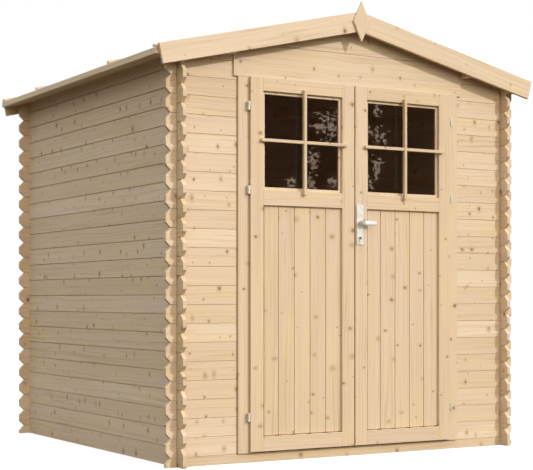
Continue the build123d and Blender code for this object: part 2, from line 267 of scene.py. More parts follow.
def down_slope(bar):
    """Grain of a bar on the roof: down its own slope."""
    middle = sum((Vector(corner) for corner in bar.bound_box), Vector()) / len(bar.bound_box)
    return (RIGHT_SLOPE if middle.x > 0 else LEFT_SLOPE), Y_AXIS


# Node groups and finishes


def shade(red, green, blue):
    """A colour as seen on a screen, 0 to 255, in the linear values that nodes take."""
    def linear(value):
        value = value / 255
        return value / 12.92 if value <= 0.04045 else ((value + 0.055) / 1.055) ** 2.4
    return (linear(red), linear(green), linear(blue), 1.0)


WOOD_PALE = shade(235, 213, 186)
WOOD_DEEP = shade(214, 187, 151)
WOOD_BLUSH = shade(229, 203, 158)
WOOD_CLOUD = shade(222, 197, 174)
WOOD_STREAK = shade(186, 149, 106)
WOOD_LINE = shade(193, 157, 112)
WOOD_FIBRE = shade(197, 163, 120)
WOOD_END = shade(199, 165, 118)
WOOD_RELIEF = 0.0004
KNOT_RING = shade(189, 147, 100)
KNOT_CORE = shade(131, 97, 63)
KNOT_RADIUS = (0.0026, 0.010)
KNOT_CELL = (1.0, 0.78, 0)
KNOT_DARKNESS = (0.30, 1.0)
KNOT_NONE = 0.20
KNOT_WAVER = 0.004
KNOT_BEND = 0.010
GRAIN_SWAY = 0.055
PLAIN_KNOTS = 8.5
WALL_KNOTS = 11.5
FELT_DARK = shade(62, 65, 66)
FELT_WORN = shade(70, 73, 73)
FELT_GRIT = shade(126, 129, 128)
FELT_RELIEF = 0.0012
PANE_TINT = shade(238, 237, 231)
PANE_WAVE = 0.002
# Painted shade of a keyhole's inside, and the dust mixed into it
KEYHOLE_PAINTED_SHADE = shade(18, 18, 18)
KEYHOLE_SHADE_DUST = shade(44, 43, 41)


def new_group(name, inputs, outputs):
    """An empty node group with named sockets, and its two end nodes."""
    group = bpy.data.node_groups.new(name, "ShaderNodeTree")
    for socket, kind in inputs:
        group.interface.new_socket(socket, in_out="INPUT", socket_type=kind)
    for socket, kind in outputs:
        group.interface.new_socket(socket, in_out="OUTPUT", socket_type=kind)
    return group, group.nodes.new("NodeGroupInput"), group.nodes.new("NodeGroupOutput")


class Bench:
    """Short words for adding nodes to one tree and wiring them."""

    def __init__(self, tree):
        self.tree = tree

    def add(self, kind, **settings):
        made = self.tree.nodes.new(kind)
        for name, value in settings.items():
            setattr(made, name, value)
        return made

    def wire(self, source, target):
        if hasattr(source, "is_output"):
            self.tree.links.new(source, target)
        else:
            target.default_value = source

    def maths(self, operation, a, b=0.0):
        made = self.add("ShaderNodeMath", operation=operation)
        self.wire(a, made.inputs[0])
        self.wire(b, made.inputs[1])
        return made.outputs[0]

    def stretch(self, vector, scale):
        made = self.add("ShaderNodeVectorMath", operation="MULTIPLY")
        self.wire(vector, made.inputs[0])
        made.inputs[1].default_value = scale
        return made.outputs[0]

    def noise(self, vector, scale, detail=2.0, roughness=0.5):
        made = self.add("ShaderNodeTexNoise")
        self.wire(vector, made.inputs["Vector"])
        made.inputs["Scale"].default_value = scale
        made.inputs["Detail"].default_value = detail
        made.inputs["Roughness"].default_value = roughness
        return made.outputs["Fac"]

    def band(self, value, low, high, to_low=0.0, to_high=1.0, smooth=True):
        ramp = "SMOOTHSTEP" if smooth else "LINEAR"
        made = self.add("ShaderNodeMapRange", interpolation_type=ramp)
        self.wire(value, made.inputs["Value"])
        self.wire(low, made.inputs["From Min"])
        self.wire(high, made.inputs["From Max"])
        made.inputs["To Min"].default_value = to_low
        made.inputs["To Max"].default_value = to_high
        return made.outputs["Result"]

    def mix(self, amount, first, second):
        made = self.add("ShaderNodeMix", data_type="RGBA")
        self.wire(amount, made.inputs["Factor"])
        self.wire(first, made.inputs[6])
        self.wire(second, made.inputs[7])
        return made.outputs[2]

    def tint(self, mask, share, under, over):
        """Lays a colour over another by a share, where a mask lets it."""
        return self.mix(self.maths("MULTIPLY", mask, share), under, over)


def knot_group():
    """Scattered knots: a dark core and a soft ring round it, so many places to a metre."""
    group, given, put = new_group(
        "spruce_knots",
        [("Grain", "NodeSocketVector"), ("Spread", "NodeSocketFloat")],
        [("Core", "NodeSocketFloat"), ("Ring", "NodeSocketFloat")])
    bench = Bench(group)
    flow = bench.noise(bench.stretch(given.outputs["Grain"], (20, 45, 1)), 1.0)
    wobble = bench.add("ShaderNodeVectorMath", operation="ADD")
    bench.wire(given.outputs["Grain"], wobble.inputs[0])
    bench.wire(bench.stretch(flow, (KNOT_WAVER, KNOT_WAVER, 0)), wobble.inputs[1])
    flat = bench.stretch(wobble.outputs[0], KNOT_CELL)
    cells = bench.add("ShaderNodeTexVoronoi", voronoi_dimensions="2D", feature="F1")
    bench.wire(flat, cells.inputs["Vector"])
    bench.wire(given.outputs["Spread"], cells.inputs["Scale"])
    pick = bench.add("ShaderNodeSeparateColor")
    bench.wire(cells.outputs["Color"], pick.inputs["Color"])
    there = bench.maths("GREATER_THAN", pick.outputs[0], KNOT_NONE)
    dark = bench.maths("MULTIPLY", there, bench.band(pick.outputs[2], 0.1, 0.9, *KNOT_DARKNESS))
    mostly_small = bench.maths("POWER", pick.outputs[1], 1.7)
    radius = bench.band(mostly_small, 0.0, 1.0, *KNOT_RADIUS, smooth=False)
    size = bench.maths("MULTIPLY", radius, given.outputs["Spread"])
    core_start = bench.maths("MULTIPLY", size, 0.5)
    core_end = bench.maths("MULTIPLY", size, 1.1)
    ring_end = bench.maths("MULTIPLY", size, 2.6)
    far = cells.outputs["Distance"]
    core = bench.band(far, core_start, core_end, 1.0, 0.0)
    ring = bench.band(far, size, ring_end, 1.0, 0.0)
    bench.wire(bench.maths("MULTIPLY", core, dark), put.inputs["Core"])
    bench.wire(bench.maths("MULTIPLY", ring, there), put.inputs["Ring"])
    return group


def grain_group():
    """Spruce figure from grain coordinates: growth lines, fine fibres, knots and tone."""
    group, given, put = new_group(
        "spruce_figure",
        [("Grain", "NodeSocketVector"), ("Tone", "NodeSocketFloat"), ("End", "NodeSocketFloat"),
         ("Spread", "NodeSocketFloat")],
        [("Color", "NodeSocketColor"), ("Roughness", "NodeSocketFloat"),
         ("Height", "NodeSocketFloat")])
    bench = Bench(group)
    grain = given.outputs["Grain"]
    knots = bench.add("ShaderNodeGroup", node_tree=bpy.data.node_groups["spruce_knots"])
    bench.wire(grain, knots.inputs["Grain"])
    bench.wire(given.outputs["Spread"], knots.inputs["Spread"])
    split = bench.add("ShaderNodeSeparateXYZ")
    bench.wire(grain, split.inputs[0])
    sway = bench.noise(bench.stretch(grain, (1.3, 7, 3)), 1.0, detail=1.0)
    bend = bench.maths("ADD", bench.maths("MULTIPLY", sway, GRAIN_SWAY),
                       bench.maths("MULTIPLY", knots.outputs["Ring"], KNOT_BEND))
    across = bench.maths("ADD", split.outputs["Y"], bend)
    swayed = bench.add("ShaderNodeCombineXYZ")
    bench.wire(split.outputs["X"], swayed.inputs["X"])
    bench.wire(across, swayed.inputs["Y"])
    bench.wire(split.outputs["Z"], swayed.inputs["Z"])
    figure = swayed.outputs[0]
    growth = bench.noise(bench.stretch(figure, (0.5, 150, 40)), 1.0, detail=2.0, roughness=0.6)
    fibre = bench.noise(bench.stretch(figure, (9, 700, 300)), 1.0, detail=2.0)
    cloud = bench.noise(bench.stretch(figure, (1.6, 14, 8)), 1.0, detail=2.0)
    blush = bench.noise(bench.stretch(figure, (2.2, 6, 5)), 1.0, detail=2.0)
    streak = bench.noise(bench.stretch(figure, (2.4, 75, 30)), 1.0, detail=3.0, roughness=0.6)
    line = bench.band(growth, 0.46, 0.70)
    wood = bench.mix(given.outputs["Tone"], WOOD_PALE, WOOD_DEEP)
    wood = bench.tint(bench.band(blush, 0.42, 0.68), 0.55, wood, WOOD_BLUSH)
    wood = bench.tint(bench.band(cloud, 0.40, 0.7), 0.6, wood, WOOD_CLOUD)
    wood = bench.tint(bench.band(streak, 0.55, 0.74), 0.42, wood, WOOD_STREAK)
    wood = bench.tint(line, 0.30, wood, WOOD_LINE)
    wood = bench.tint(bench.band(fibre, 0.45, 0.75), 0.15, wood, WOOD_FIBRE)
    wood = bench.tint(bench.band(given.outputs["End"], 0.5, 0.9), 0.16, wood, WOOD_END)
    wood = bench.tint(knots.outputs["Ring"], 0.34, wood, KNOT_RING)
    wood = bench.tint(knots.outputs["Core"], 0.85, wood, KNOT_CORE)
    bench.wire(wood, put.inputs["Color"])
    bench.wire(bench.band(growth, 0.3, 0.8, 0.52, 0.66), put.inputs["Roughness"])
    relief = bench.maths("SUBTRACT", bench.maths("MULTIPLY", fibre, 0.5), line)
    bench.wire(bench.maths("SUBTRACT", relief, knots.outputs["Core"]), put.inputs["Height"])
    return group


def finish_tree(name):
    """A material with its Principled shader, ready to be wired."""
    material = bpy.data.materials.new(name)
    material.use_nodes = True
    bench = Bench(material.node_tree)
    return material, bench, material.node_tree.nodes["Principled BSDF"]


def spruce(name, relief, spread):
    """Softwood that reads each board's own grain, with so many knot places to a metre."""
    material, bench, shader = finish_tree(name)
    wood = bench.add("ShaderNodeGroup", node_tree=bpy.data.node_groups["spruce_figure"])
    readings = (("grain", "Grain", "Vector"), ("board_tone", "Tone", "Fac"), ("end_face", "End", "Fac"))
    for attribute, socket, output in readings:
        reader = bench.add("ShaderNodeAttribute", attribute_name=attribute)
        bench.wire(reader.outputs[output], wood.inputs[socket])
    wood.inputs["Spread"].default_value = spread
    bench.wire(wood.outputs["Color"], shader.inputs["Base Color"])
    bench.wire(wood.outputs["Roughness"], shader.inputs["Roughness"])
    bump = bench.add("ShaderNodeBump")
    bump.inputs["Strength"].default_value = relief
    bump.inputs["Distance"].default_value = WOOD_RELIEF
    bench.wire(wood.outputs["Height"], bump.inputs["Height"])
    bench.wire(bump.outputs["Normal"], shader.inputs["Normal"])
    shader.inputs["Specular IOR Level"].default_value = 0.3
    return material


def roof_felt():
    """Dark sheet with mineral grit."""
    material, bench, shader = finish_tree("roof_felt")
    place = bench.add("ShaderNodeTexCoord").outputs["Object"]
    grit = bench.noise(place, 900, detail=1.0)
    patch = bench.noise(place, 7, detail=3.0)
    worn = bench.mix(bench.band(patch, 0.35, 0.7), FELT_DARK, FELT_WORN)
    gritty = bench.tint(bench.band(grit, 0.5, 0.72), 0.6, worn, FELT_GRIT)
    bench.wire(gritty, shader.inputs["Base Color"])
    bench.wire(bench.band(grit, 0.3, 0.7, 0.80, 0.95), shader.inputs["Roughness"])
    bump = bench.add("ShaderNodeBump")
    bump.inputs["Strength"].default_value = 0.5
    bump.inputs["Distance"].default_value = FELT_RELIEF
    bench.wire(grit, bump.inputs["Height"])
    bench.wire(bump.outputs["Normal"], shader.inputs["Normal"])
    return material


def window_glass():
    """Clear drawn glass, very slightly uneven."""
    material, bench, shader = finish_tree("window_glass")
    place = bench.add("ShaderNodeTexCoord").outputs["Object"]
    bump = bench.add("ShaderNodeBump")
    bump.inputs["Strength"].default_value = 0.04
    bump.inputs["Distance"].default_value = PANE_WAVE
    bench.wire(bench.noise(place, 3.0, detail=1.0), bump.inputs["Height"])
    bench.wire(bump.outputs["Normal"], shader.inputs["Normal"])
    shader.inputs["Base Color"].default_value = PANE_TINT
    shader.inputs["Roughness"].default_value = 0.005
    shader.inputs["IOR"].default_value = 1.5
    shader.inputs["Transmission Weight"].default_value = 1.0
    return material


def metal(name, pale, dull, smooth, rough, metallic):
    """Plated metal with faint cloudiness and brushing."""
    material, bench, shader = finish_tree(name)
    place = bench.add("ShaderNodeTexCoord").outputs["Object"]
    cloud = bench.noise(place, 60, detail=2.0)
    brush = bench.noise(bench.stretch(place, (900, 900, 40)), 1.0, detail=2.0)
    bench.wire(bench.mix(bench.band(cloud, 0.35, 0.7), pale, dull), shader.inputs["Base Color"])
    bench.wire(bench.band(brush, 0.3, 0.7, smooth, rough), shader.inputs["Roughness"])
    shader.inputs["Metallic"].default_value = metallic
    return material


def keyhole_painted_shade():
    """Painted shade for the inside of a keyhole, laid on a thin block, with a little dust."""
    material, bench, shader = finish_tree("keyhole_painted_shade")
    place = bench.add("ShaderNodeTexCoord").outputs["Object"]
    dust = bench.noise(place, 400, detail=1.0)
    bench.wire(bench.mix(dust, KEYHOLE_PAINTED_SHADE, KEYHOLE_SHADE_DUST), shader.inputs["Base Color"])
    shader.inputs["Roughness"].default_value = 0.7
    return material


knot_group()
grain_group()
PLANED = spruce("planed_spruce", 0.35, PLAIN_KNOTS)
KNOTTY = spruce("knotty_spruce", 0.35, WALL_KNOTS)
SAWN = spruce("sawn_spruce", 0.8, PLAIN_KNOTS)
FELT = roof_felt()
GLASS = window_glass()
ZINC = metal("zinc_plate", shade(220, 211, 194), shade(200, 191, 174), 0.48, 0.62, 0.6)
SILVER = metal("satin_silver", shade(220, 215, 207), shade(204, 199, 190), 0.50, 0.62, 0.40)
BRONZE = metal("plug_bronze", shade(104, 94, 80), shade(78, 71, 61), 0.36, 0.50, 0.80)
KEYHOLE_SHADE_FINISH = keyhole_painted_shade()


# Walls


def tongue(node, low, high, run, cuts, height):
    """The hidden tongue that closes one joint, short of the cut ends and of the roof."""
    first = low[run] + (END_CUT + V_JOINT) * cuts[0]
    last = high[run] - (END_CUT + V_JOINT) * cuts[1]
    if run == 0:
        reach = (RIDGE.z - height - TONGUE_H) / math.tan(ROOF_PITCH)
        first = max(first, -reach)
        last = min(last, reach)
    strip_low = (low + high) / 2 - Vector((TONGUE_T / 2, TONGUE_T / 2, 0))
    strip_high = (low + high) / 2 + Vector((TONGUE_T / 2, TONGUE_T / 2, 0))
    strip_low[run] = first
    strip_high[run] = last
    strip_low.z = height - TONGUE_H / 2
    strip_high.z = height + TONGUE_H / 2
    strip = block(node + "_tongue", strip_low, strip_high)
    ease(strip, V_JOINT)
    return strip


def open_slots(board, places):
    """Cuts narrow open joints into the outer face of an end wall, where other timber meets it."""
    depths = [corner.co.y for corner in board.data.vertices]
    face = min(depths) if min(depths) < 0 else max(depths)
    for place in places:
        cutter = block("slot_cutter", (place - SLOT_W, face - SLOT_DEPTH, -BOARD_H),
                       (place + SLOT_W, face + SLOT_DEPTH, RIDGE.z + BOARD_H))
        hold(board)
        slot = board.modifiers.new("open_slot", "BOOLEAN")
        slot.operation = "DIFFERENCE"
        slot.solver = "EXACT"
        slot.object = cutter
        bpy.ops.object.modifier_apply(modifier=slot.name)
        bpy.data.objects.remove(cutter)


def board_wall(node, gap, feet, cuts, low_top=None, joints=(), slots=()):
    """A wall of like boards: one is modelled at the lowest foot and copied to the others."""
    low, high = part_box(node)
    run = 0 if high.x - low.x > high.y - low.y else 1
    along = X_AXIS if run == 0 else Y_AXIS
    stops = [stop for stop, cut in zip((low[run], high[run]), cuts) if cut]
    half_gap = gap / 2
    boards = []
    if low_top:
        board = block(node + "_low_board", low, (high.x, high.y, low_top - half_gap))
        cut_corners(board, run, stops, [low_top - half_gap])
        open_slots(board, slots)
        boards.append(board)
    if feet:
        foot = feet[0] + half_gap
        top = feet[0] + BOARD_H - half_gap
        whole = block(node + "_board", (low.x, low.y, foot), (high.x, high.y, top))
        cut_corners(whole, run, stops, [foot, top])
        open_slots(whole, slots)
        boards.append(whole)
        boards += [copied(whole, (0, 0, step - feet[0])) for step in feet[1:]]
    for board in boards:
        trim_under_roof(board)
        ease(board, V_JOINT)
    boards += [tongue(node, low, high, run, cuts, height) for height in joints]
    for board in boards:
        lay_grain(board, along, Z_AXIS)
    finished(joined(node + "_boards", boards), "shed", "spruce", KNOTTY, node)


def feet_between(first, top):
    """Feet of whole boards from the first up to a height."""
    count = math.ceil((top - first) / BOARD_H - TOUCH)
    return [first + step * BOARD_H for step in range(count)]


for side_wall in ("left_wall", "right_wall"):
    side_feet = feet_between(BOARD_H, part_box(side_wall)[1].z)
    board_wall(side_wall, SIDE_GAP, side_feet, (True, True), BOARD_H, side_feet)
left_crossing = [corner.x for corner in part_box("left_wall")]
right_crossing = [corner.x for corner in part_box("right_wall")]
crossings = left_crossing + right_crossing
rear_feet = feet_between(HALF_BOARD, RIDGE.z)
board_wall("rear_wall", SIDE_GAP, rear_feet, (True, True), HALF_BOARD, rear_feet, crossings)
board_wall("front_sill_board", FRONT_GAP, [], (True, True), HALF_BOARD, (), crossings)
door_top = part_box("front_gable")[0].z
front_feet = feet_between(HALF_BOARD, door_top)
board_wall("front_wall_left", FRONT_GAP, front_feet, (True, False), None, front_feet + [door_top],
           left_crossing + [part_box("left_jamb")[0].x])
board_wall("front_wall_right", FRONT_GAP, front_feet, (False, True), None, front_feet + [door_top],
           right_crossing + [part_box("right_jamb")[1].x])
gable_feet = feet_between(door_top, RIDGE.z)
board_wall("front_gable", FRONT_GAP, gable_feet, (True, True), None, gable_feet[1:], crossings)


# Timber round the doorway, under and on the roof, and at the gables

for node in ("left_jamb", "right_jamb"):
    finished(sawn_timber(node, Z_AXIS, X_AXIS, LEAF_TONES), "shed", "spruce", PLANED, node)
header = sawn_timber("door_header", X_AXIS, Z_AXIS, GABLE_TONES)
finished(header, "shed", "spruce", PLANED, "door_header")
gable_board = sawn_timber("gable_board", X_AXIS, Z_AXIS, GABLE_TONES)
trim(gable_board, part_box("gable_board")[0] + Vector((0, 0, HEADER_GAP)), -Z_AXIS)
finished(gable_board, "shed", "spruce", PLANED, "gable_board")
for node in ("front_barge_left", "front_barge_right", "rear_barge_left", "rear_barge_right"):
    slope = LEFT_SLOPE if node.endswith("left") else RIGHT_SLOPE
    finished(sawn_timber(node, slope, Y_AXIS.cross(slope)), "shed", "spruce", PLANED, node)
for node in ("front_finial", "rear_finial"):
    finished(sawn_timber(node, Z_AXIS, X_AXIS), "shed", "spruce", PLANED, node)
for node in ("left_eave_board", "right_eave_board"):
    finished(sawn_timber(node, Y_AXIS, Z_AXIS), "shed", "spruce", PLANED, node)
for node in ("ridge_purlin", "side_purlins"):
    finished(sawn_timber(node, Y_AXIS, Z_AXIS), "shed", "spruce", SAWN, node)
finished(sawn_timber("floor_bearers", X_AXIS, Z_AXIS), "shed", "spruce", SAWN, "floor_bearers")
finished(sawn_timber("roof_battens", down_slope, None), "shed", "spruce", PLANED, "roof_battens")


def roof_deck(node, slope):
    """Boards along the eave, laid side by side down one slope."""
    low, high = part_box(node)
    reach = (high.x - low.x) / math.cos(ROOF_PITCH)
    thickness = (high.z - RIDGE.z) * math.cos(ROOF_PITCH)
    width = reach / ROOF_BOARDS
    first = block(node + "_board", (0, low.y, 0), (width, high.y, thickness))
    ease(first, V_JOINT)
    boards = [first] + [copied(first, (width * step, 0, 0)) for step in range(1, ROOF_BOARDS)]
    lean = Matrix((slope, Y_AXIS, slope.cross(Y_AXIS))).transposed().to_4x4()
    for board in boards:
        board.data.transform(Matrix.Translation(RIDGE) @ lean)
        lay_grain(board, Y_AXIS, slope)
    deck = joined(node + "_boards", boards)
    if slope.x < 0:
        hold(deck)
        bpy.ops.object.mode_set(mode="EDIT")
        bpy.ops.mesh.select_all(action="SELECT")
        bpy.ops.mesh.normals_make_consistent(inside=False)
        bpy.ops.object.mode_set(mode="OBJECT")
    finished(deck, "shed", "spruce", SAWN, node)


roof_deck("roof_right", RIGHT_SLOPE)
roof_deck("roof_left", LEFT_SLOPE)

for node in ("felt_left", "felt_right"):
    felt = node_copy(node, node + "_sheet")
    ease(felt, EASED / 2)
    finished(felt, "shed", "felt", FELT, node)

floor_low, floor_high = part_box("floor_boards")
floor_board_w = (floor_high.x - floor_low.x) / FLOOR_BOARDS
floor_board = block("floor_board", floor_low,
                    (floor_low.x + floor_board_w, floor_high.y, floor_high.z))
ease(floor_board, V_JOINT / 2)
floor_row = [floor_board]
floor_row += [copied(floor_board, (floor_board_w * step, 0, 0)) for step in range(1, FLOOR_BOARDS)]
for board in floor_row:
    lay_grain(board, Y_AXIS, X_AXIS)
finished(joined("floor_deck", floor_row), "shed", "spruce", SAWN, "floor_boards")


# Door leaves


def panel_boards(node, body):
    """Upright boards in the lower half of a leaf, with open joints closed by hidden tongues."""
    low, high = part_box(node)
    first = low.x + GROOVE
    foot = low.z + GROOVE
    width = (high.x - low.x - 2 * GROOVE) / PANEL_BOARDS
    middle = (low.y + high.y) / 2
    tongue_low = middle - PANEL_TONGUE_T / 2
    tongue_high = middle + PANEL_TONGUE_T / 2
    board = block(node + "_board", (first + PANEL_GAP / 2, low.y, foot + PANEL_FOOT_GAP),
                  (first + width + GROOVE, high.y, high.z))
    boards = [board] + [copied(board, (width * step, 0, 0)) for step in range(1, PANEL_BOARDS)]
    trim(boards[0], Vector((first + PANEL_EDGE, 0, 0)), -X_AXIS)
    for step, board in enumerate(boards[:-1], 1):
        trim(board, Vector((first + width * step - PANEL_GAP / 2, 0, 0)), X_AXIS)
    for board in boards:
        ease(board, PANEL_JOINT)
    strip = block(node + "_tongue", (first - 2 * GROOVE, tongue_low, low.z),
                  (first + 2 * GROOVE, tongue_high, high.z))
    strips = [strip] + [copied(strip, (width * step, 0, 0)) for step in range(1, PANEL_BOARDS + 1)]
    trim(strips[0], low, -X_AXIS)
    trim(strips[-1], high, X_AXIS)
    strips.append(block(node + "_foot_tongue", (low.x, tongue_low, low.z),
                        (high.x, tongue_high, foot + 2 * GROOVE)))
    for strip in strips:
        ease(strip, V_JOINT)
    for board in boards + strips:
        lay_grain(board, Z_AXIS, X_AXIS, LEAF_TONES)
    finished(joined(node + "_boards", boards + strips), body, "spruce", PLANED, node)


def window_bars(side, body):
    """Two crossed bars laid on the frame of a leaf in front of its pane."""
    pane_low, pane_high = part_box(side + "_door_glass")
    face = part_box(side + "_door_stiles")[0].y
    middle = (pane_low + pane_high) / 2
    reach_x = (pane_high.x - pane_low.x) / 2 - GROOVE + BAR_LAP
    reach_z = (pane_high.z - pane_low.z) / 2 - GROOVE + BAR_LAP
    upright = block(side + "_upright_bar",
                    (middle.x - BAR_W / 2, face - BAR_T, middle.z - reach_z),
                    (middle.x + BAR_W / 2, face, middle.z + reach_z))
    cross = block(side + "_cross_bar",
                  (middle.x - reach_x, face - CROSS_BAR_T, middle.z - BAR_W / 2),
                  (middle.x + reach_x, face, middle.z + BAR_W / 2))
    for bar, along, across in ((upright, Z_AXIS, X_AXIS), (cross, X_AXIS, Z_AXIS)):
        ease(bar, EASED, segments=2)
        lay_grain(bar, along, across, LEAF_TONES)
    finished(joined(side + "_window_bars", [upright, cross]), body, "spruce", PLANED)


def pane_beads(side, body):
    """Four slim beads that hold the pane against its rebate, with mitred corners."""
    pane_low, pane_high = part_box(side + "_door_glass")
    groove = Vector((GROOVE, 0, GROOVE))
    low = pane_low + groove
    high = pane_high - groove
    frame_low = Vector((low.x, pane_low.y - BEAD_T, low.z))
    ring = block(side + "_beads", frame_low, (high.x, pane_low.y, high.z))
    hold(ring)
    bpy.ops.object.mode_set(mode="EDIT")
    bpy.ops.mesh.select_mode(type="FACE")
    bpy.ops.mesh.select_all(action="DESELECT")
    mesh = bmesh.from_edit_mesh(ring.data)
    for face in mesh.faces:
        face.select_set(abs(face.normal.y) > 0.9)
    bmesh.update_edit_mesh(ring.data)
    bpy.ops.mesh.inset(thickness=BEAD_W, use_individual=True)
    bpy.ops.mesh.bridge_edge_loops()
    bpy.ops.mesh.select_all(action="SELECT")
    bpy.ops.mesh.normals_make_consistent(inside=False)
    bpy.ops.mesh.select_all(action="DESELECT")
    mesh = bmesh.from_edit_mesh(ring.data)
    for edge in mesh.edges:
        ends = [corner.co for corner in edge.verts]
        slanted = abs(ends[0].x - ends[1].x) > TOUCH and abs(ends[0].z - ends[1].z) > TOUCH
        edge.select_set(slanted)
    bmesh.update_edit_mesh(ring.data)
    bpy.ops.mesh.edge_split(type="EDGE")
    bpy.ops.mesh.select_all(action="SELECT")
    bpy.ops.mesh.separate(type="LOOSE")
    bpy.ops.object.mode_set(mode="OBJECT")
    beads = list(bpy.context.selected_objects)
    beads.sort(key=by_place)
    for bead in beads:
        upright = bead.dimensions.z > bead.dimensions.x
        hold(bead)
        bpy.ops.object.mode_set(mode="EDIT")
        bpy.ops.mesh.select_all(action="SELECT")
        bpy.ops.mesh.fill_holes(sides=0)
        bpy.ops.mesh.normals_make_consistent(inside=False)
        bpy.ops.object.mode_set(mode="OBJECT")
        ease(bead, EASED)
        lay_grain(bead, *((Z_AXIS, X_AXIS) if upright else (X_AXIS, Z_AXIS)))
    finished(joined(side + "_pane_beads", beads), body, "spruce", PLANED)


def plated(node, name, body, slot, material):
    """Smooth copy of a metal node with softened edges."""
    piece = node_copy(node, name)
    ease(piece, SOFT_METAL, segments=2, sharp=METAL_EDGE)
    hold(piece)
    bpy.ops.object.shade_smooth_by_angle(angle=METAL_SMOOTH)
    even = piece.modifiers.new("even_faces", "WEIGHTED_NORMAL")
    even.keep_sharp = True
    bpy.ops.object.modifier_apply(modifier=even.name)
    finished(piece, body, slot, material, node)


for side in ("left", "right"):
    body = side + "_leaf"
    stiles = sawn_timber(side + "_door_stiles", Z_AXIS, X_AXIS, LEAF_TONES)
    finished(stiles, body, "spruce", PLANED, side + "_door_stiles")
    rails = sawn_timber(side + "_door_rails", X_AXIS, Z_AXIS, LEAF_TONES)
    finished(rails, body, "spruce", PLANED, side + "_door_rails")
    panel_boards(side + "_door_panel", body)
    window_bars(side, body)
    pane_beads(side, body)
    pane = node_copy(side + "_door_glass", side + "_pane")
    finished(pane, body, "glass", GLASS, side + "_door_glass")
    plated(side + "_leaf_hinges", side + "_hinge_sleeves", body, "hinge_steel", ZINC)

plated("frame_hinges", "hinge_pins", "shed", "hinge_steel", ZINC)
plated("lock_plates", "lock_faceplates", "right_leaf", "lock_metal", SILVER)
plated("lock_cylinder", "lock_barrel", "right_leaf", "lock_metal", ZINC)
plated("outer_lever", "outer_handle", "lever", "lock_metal", SILVER)
plated("inner_lever", "inner_handle", "lever", "lock_metal", SILVER)

# Key plugs on both ends of the lock's cylinder, each with a thin dark block on its face: painted shade
# standing for the keyhole's slot
barrel_low, barrel_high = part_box("lock_cylinder")
key_x = (barrel_low.x + barrel_high.x) / 2
key_z = barrel_high.z - (barrel_high.x - barrel_low.x) / 2
key_plugs = []
key_slot_shades = []
for face, out in ((barrel_low.y, -1), (barrel_high.y, 1)):
    bpy.ops.object.select_all(action="DESELECT")
    bpy.ops.mesh.primitive_cylinder_add(
        vertices=KEY_PLUG_SIDES, radius=KEY_PLUG_R, depth=KEY_PLUG_DEPTH,
        location=(key_x, face, key_z), rotation=(math.radians(90), 0, 0))
    plug = bpy.context.object
    bpy.ops.object.transform_apply(location=True, rotation=True, scale=True)
    ease(plug, KEY_PLUG_DEPTH / 4)
    key_plugs.append(plug)
    front = face + out * KEY_PLUG_DEPTH / 2
    slot_low = (key_x - KEY_SLOT_W / 2, front - KEY_SLOT_DEPTH / 2, key_z - KEY_SLOT_H / 2)
    slot_high = (key_x + KEY_SLOT_W / 2, front + KEY_SLOT_DEPTH / 2, key_z + KEY_SLOT_H / 2)
    key_slot_shades.append(block("key_slot", slot_low, slot_high))
    ease(key_slot_shades[-1], KEY_SLOT_DEPTH / 4)
finished(joined("key_plugs", key_plugs), "right_leaf", "lock_metal", BRONZE)
finished(joined("key_slot_shades", key_slot_shades), "right_leaf", "lock_metal", KEYHOLE_SHADE_FINISH)


# Studio: floor, light and camera

FLOOR_REACH = 60.0
FLOOR_SHADES = (shade(168, 168, 168), shade(172, 172, 172))
FLOOR_BOUNCE = shade(72, 63, 48)
FLOOR_GLOW = 0.72
WHITE = (1, 1, 1, 1)
BLACK = (0, 0, 0, 1)
SUN_FAR = 8
SUN_PATH = Vector((-0.475, 0.747, -0.440))
SUN_STRENGTH = 1.53
SUN_COLOR = (1.0, 1.0, 1.04)
SUN_SPREAD = math.radians(1.2)
SKY_LOW = 0.10
SKY_HIGH = 1.37
SKY_TINT = (0.88, 0.97, 1.08, 1)
FRONT_FILL = 1.80
REAR_FILL = 0.75
FILL_TINT = (1.0, 0.88, 0.63, 1)
FRONT_FILL_FOOT = (0.0, 0.12)
FRONT_FILL_TOP = (0.45, 0.75)
REAR_FILL_EDGE = (0.65, 0.95)
PHOTO_W = 533
PHOTO_H = 470
FOCAL_PX = 1372.583
CENTRE_PX = (278.35, 298.85)
CAMERA_PLACE = (-3.65624, -6.38973, 0.74774)
CAMERA_YAW = math.radians(-30.743)


def shown(bench, ray):
    """Rays that show the floor or the sky to the eye, straight, mirrored or through glass."""
    mirrored = bench.maths("MAXIMUM", ray.outputs["Is Camera Ray"], ray.outputs["Is Glossy Ray"])
    return bench.maths("MAXIMUM", mirrored, ray.outputs["Is Transmission Ray"])


bpy.ops.object.select_all(action="DESELECT")
bpy.ops.mesh.primitive_plane_add(size=FLOOR_REACH, location=(0, 0, 0))
studio_floor = bpy.context.object
studio_floor.name = "studio_floor"
floor_finish, bench, shader = finish_tree("studio_floor")
place = bench.add("ShaderNodeTexCoord").outputs["Object"]
ray = bench.add("ShaderNodeLightPath")
plain = bench.mix(bench.noise(place, 0.4), *FLOOR_SHADES)
floor_colour = bench.mix(ray.outputs["Is Camera Ray"], FLOOR_BOUNCE, plain)
bench.wire(floor_colour, shader.inputs["Base Color"])
shader.inputs["Roughness"].default_value = 0.9
shader.inputs["Specular IOR Level"].default_value = 0.0
shader.inputs["Emission Color"].default_value = WHITE
floor_glow = bench.maths("MULTIPLY", shown(bench, ray), FLOOR_GLOW)
bench.wire(floor_glow, shader.inputs["Emission Strength"])
studio_floor.data.materials.append(floor_finish)

